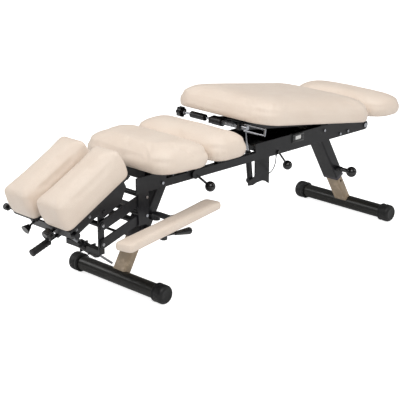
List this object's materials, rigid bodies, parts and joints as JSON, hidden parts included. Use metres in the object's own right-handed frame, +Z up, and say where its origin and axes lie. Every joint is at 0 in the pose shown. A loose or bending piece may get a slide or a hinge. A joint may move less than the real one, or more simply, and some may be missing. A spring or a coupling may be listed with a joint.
{
  "type": "chiropractic table",
  "caption": "Adjustable chiropractic table: padded pelvic, lumbar, thoracic and foot sections on a beam with leaning telescopic legs, a hanging head section and swing-out armrests.",
  "frame": {"origin": "centre of the bounding box on the floor", "axes": "+X from the head end to the foot end, +Y from the side with the levers to the other side, +Z up"},
  "size_m": [1.796, 0.7031, 0.6406],
  "materials": {
    "cushion": "satin",
    "frame": "satin",
    "leg": "satin",
    "foot": "satin",
    "rubber": "matte",
    "knob": "gloss",
    "bushing": "matte",
    "chrome": "polished",
    "label": "gloss"
  },
  "bodies": {
    "base": {"beam_frame": "frame", "front_leg_sleeve": "frame", "rear_leg_sleeve": "frame", "leg_bushings": "bushing", "lift_bracket": "frame", "release_cable": "rubber", "blank_label": "label", "frame_bolts": "chrome", "lumbar_support": "frame", "lumbar_cushion": "cushion", "catch_spring": "chrome", "head_column": "frame"},
    "front_leg": {"front_inner_leg": "leg", "front_foot_tube": "foot", "front_foot_caps": "rubber"},
    "rear_leg": {"rear_inner_leg": "leg", "rear_foot_tube": "foot", "rear_foot_caps": "rubber"},
    "front_pin": {"front_pull_pin": "knob"},
    "rear_pin": {"rear_pull_pin": "knob"},
    "lift_lever": {"lift_release_lever": "knob"},
    "pelvic": {"pelvic_frame": "frame", "drop_spring": "chrome"},
    "gas_cylinder": {"gas_spring_cylinder": "frame"},
    "gas_rod": {"gas_spring_rod": "chrome"},
    "pelvic_top": {"pelvic_tray": "frame", "pelvic_cushion": "cushion"},
    "cocking": {"drop_tension_rod": "chrome", "drop_barrels": "frame", "loop_handle": "chrome"},
    "tension_knob": {"drop_tension_knob": "knob"},
    "foot": {"foot_slide_frame": "frame", "foot_cushion": "cushion"},
    "thoracic": {"thoracic_frame": "frame", "thoracic_cushion": "cushion"},
    "thoracic_release": {"thoracic_lever": "frame", "thoracic_lever_ball": "knob"},
    "lower_arms": {"lower_lift_arms": "frame"},
    "upper_arms": {"upper_lift_arms": "frame"},
    "coupler": {"lift_coupler": "frame"},
    "head": {"head_frame": "frame"},
    "lock_body": {"tilt_lock_body": "frame"},
    "lock_rod": {"tilt_lock_rod": "chrome"},
    "handle": {"release_handle": "frame", "handle_grip": "rubber"},
    "head_top": {"head_drop_tray": "frame"},
    "far_pad": {"far_pad_board": "frame", "far_head_pad": "cushion"},
    "near_pad": {"near_pad_board": "frame", "near_head_pad": "cushion"},
    "width_screw": {"width_knob": "knob"},
    "cocking_knob": {"head_cocking_knob": "knob"},
    "head_dial": {"head_tension_knob": "knob"},
    "near_swing": {"near_swing_arm": "frame"},
    "near_rest": {"near_armrest": "cushion"},
    "near_clamp": {"near_clamp_lever": "knob"},
    "far_swing": {"far_swing_arm": "frame"},
    "far_rest": {"far_armrest": "cushion"},
    "far_clamp": {"far_clamp_lever": "knob"}
  },
  "joints": [
    {"name": "front_leg_slide", "type": "slide", "parent": "base", "child": "front_leg", "axis": [-0.5, 0, -0.866], "range_m": [-0.0762, 0.0762]},
    {"name": "rear_leg_slide", "type": "slide", "parent": "base", "child": "rear_leg", "axis": [0.5, 0, -0.866], "range_m": [-0.0762, 0.0762]},
    {"name": "front_pin_pull", "type": "slide", "parent": "base", "child": "front_pin", "axis": [0, -1, 0], "range_m": [0, 0.012], "stiffness_N_per_m": 1500, "springref_m": -0.006},
    {"name": "rear_pin_pull", "type": "slide", "parent": "base", "child": "rear_pin", "axis": [0, -1, 0], "range_m": [0, 0.012], "stiffness_N_per_m": 1500, "springref_m": -0.006},
    {"name": "lift_lever_pull", "type": "hinge", "parent": "base", "child": "lift_lever", "pos_m": [0.24701, 0, 0.389], "axis": [0, -1, 0], "range_deg": [0, 18], "stiffness_Nm_per_rad": 1.5, "springref_deg": -17.19},
    {"name": "pelvic_raise", "type": "hinge", "parent": "base", "child": "pelvic", "pos_m": [0.79001, 0, 0.399], "axis": [0, 1, 0], "range_deg": [-7, 2]},
    {"name": "gas_spring_tilt", "type": "hinge", "parent": "base", "child": "gas_cylinder", "pos_m": [0.20601, 0, 0.256], "axis": [0, 1, 0], "range_deg": [-5.52, 1.79]},
    {"name": "gas_spring_stroke", "type": "slide", "parent": "gas_cylinder", "child": "gas_rod", "axis": [-0.1158, 0, 0.9933], "range_m": [-0.0741, 0.0219]},
    {"name": "pelvic_drop", "type": "hinge", "parent": "pelvic", "child": "pelvic_top", "pos_m": [0.66247, 0, 0.43797], "axis": [0, -1, 0], "range_deg": [0, 0.8]},
    {"name": "drop_cocking_turn", "type": "hinge", "parent": "pelvic", "child": "cocking", "pos_m": [0.06702, 0, 0.52003], "axis": [0, 1, 0], "range_deg": [-30, 60]},
    {"name": "drop_tension_turn", "type": "hinge", "parent": "cocking", "child": "tension_knob", "pos_m": [0.06702, 0, 0.52003], "axis": [0, 1, 0], "continuous": true},
    {"name": "foot_slide", "type": "slide", "parent": "base", "child": "foot", "axis": [1, 0, 0], "range_m": [0, 0.065]},
    {"name": "thoracic_drop", "type": "hinge", "parent": "base", "child": "thoracic", "pos_m": [-0.23699, 0, 0.438], "axis": [0, -1, 0], "range_deg": [0, 4.5]},
    {"name": "thoracic_lever_turn", "type": "hinge", "parent": "base", "child": "thoracic_release", "pos_m": [-0.21399, 0, 0.398], "axis": [0, -1, 0], "range_deg": [-20, 30]},
    {"name": "head_lift", "type": "hinge", "parent": "base", "child": "lower_arms", "pos_m": [-0.44999, 0, 0.29], "axis": [0, 1, 0], "range_deg": [-8, 25]},
    {"name": "upper_arm_swing", "type": "hinge", "parent": "base", "child": "upper_arms", "pos_m": [-0.44999, 0, 0.36], "axis": [0, 1, 0], "range_deg": [-8, 25]},
    {"name": "coupler_level", "type": "hinge", "parent": "lower_arms", "child": "coupler", "pos_m": [-0.65273, 0, 0.22802], "axis": [0, 1, 0], "range_deg": [-25, 8]},
    {"name": "head_tilt", "type": "hinge", "parent": "coupler", "child": "head", "pos_m": [-0.65273, 0, 0.35102], "axis": [0, 1, 0], "range_deg": [-4, 26]},
    {"name": "tilt_lock_turn", "type": "hinge", "parent": "coupler", "child": "lock_body", "pos_m": [-0.63773, 0, 0.18402], "axis": [0, 1, 0], "range_deg": [-1.48, 7.98]},
    {"name": "tilt_lock_stroke", "type": "slide", "parent": "lock_body", "child": "lock_rod", "axis": [-0.7883, 0, 0.6153], "range_m": [-0.0091, 0.0538]},
    {"name": "release_handle_lift", "type": "hinge", "parent": "head", "child": "handle", "pos_m": [-0.75553, 0, 0.27597], "axis": [0, 1, 0], "range_deg": [0, 7], "stiffness_Nm_per_rad": 4, "springref_deg": -6.88},
    {"name": "head_drop", "type": "hinge", "parent": "head", "child": "head_top", "pos_m": [-0.57085, 0, 0.43985], "axis": [0, -1, 0], "range_deg": [0, 2]},
    {"name": "far_pad_slide", "type": "slide", "parent": "head_top", "child": "far_pad", "axis": [0, 1, 0], "range_m": [-0.008, 0.02]},
    {"name": "near_pad_slide", "type": "slide", "parent": "head_top", "child": "near_pad", "axis": [0, -1, 0], "range_m": [-0.008, 0.02]},
    {"name": "width_knob_turn", "type": "hinge", "parent": "far_pad", "child": "width_screw", "pos_m": [-0.83151, 0, 0.3358], "axis": [0, 1, 0], "range_deg": [-80.5, 200.5]},
    {"name": "head_cocking_pull", "type": "slide", "parent": "head", "child": "cocking_knob", "axis": [-0.8829, 0, -0.4695], "range_m": [0, 0.005], "stiffness_N_per_m": 1500, "springref_m": -0.004},
    {"name": "head_tension_turn", "type": "hinge", "parent": "head", "child": "head_dial", "pos_m": [-0.8096, -0.028, 0.30951], "axis": [0.8829, 0, 0.4695], "continuous": true},
    {"name": "near_arm_swing", "type": "hinge", "parent": "base", "child": "near_swing", "pos_m": [-0.36599, -0.066, 0.27], "axis": [0, 0, 1], "range_deg": [-5, 25]},
    {"name": "near_rest_turn", "type": "hinge", "parent": "near_swing", "child": "near_rest", "pos_m": [-0.51199, -0.262, 0.27], "axis": [0, 0, 1], "range_deg": [-30, 20]},
    {"name": "near_clamp_turn", "type": "hinge", "parent": "near_swing", "child": "near_clamp", "pos_m": [-0.51199, -0.262, 0.262], "axis": [0, 0, 1], "range_deg": [-20, 20]},
    {"name": "far_arm_swing", "type": "hinge", "parent": "base", "child": "far_swing", "pos_m": [-0.36599, 0.066, 0.27], "axis": [0, 0, -1], "range_deg": [-5, 25]},
    {"name": "far_rest_turn", "type": "hinge", "parent": "far_swing", "child": "far_rest", "pos_m": [-0.51199, 0.262, 0.27], "axis": [0, 0, -1], "range_deg": [-8, 41]},
    {"name": "far_clamp_turn", "type": "hinge", "parent": "far_swing", "child": "far_clamp", "pos_m": [-0.51199, 0.262, 0.262], "axis": [0, 0, -1], "range_deg": [-20, 20]}
  ],
  "couplings": [
    {"joint": "gas_spring_tilt", "follows": "pelvic_raise", "ratio": 0.7455},
    {"joint": "gas_spring_stroke", "follows": "pelvic_raise", "m_per_rad": 0.59857},
    {"joint": "upper_arm_swing", "follows": "head_lift", "ratio": 1},
    {"joint": "coupler_level", "follows": "head_lift", "ratio": -1},
    {"joint": "tilt_lock_turn", "follows": "head_tilt", "ratio": 0.2952},
    {"joint": "tilt_lock_stroke", "follows": "head_tilt", "m_per_rad": 0.11625},
    {"joint": "near_pad_slide", "follows": "far_pad_slide", "ratio": 1},
    {"joint": "width_knob_turn", "follows": "far_pad_slide", "rad_per_m": 174.53}
  ]
}
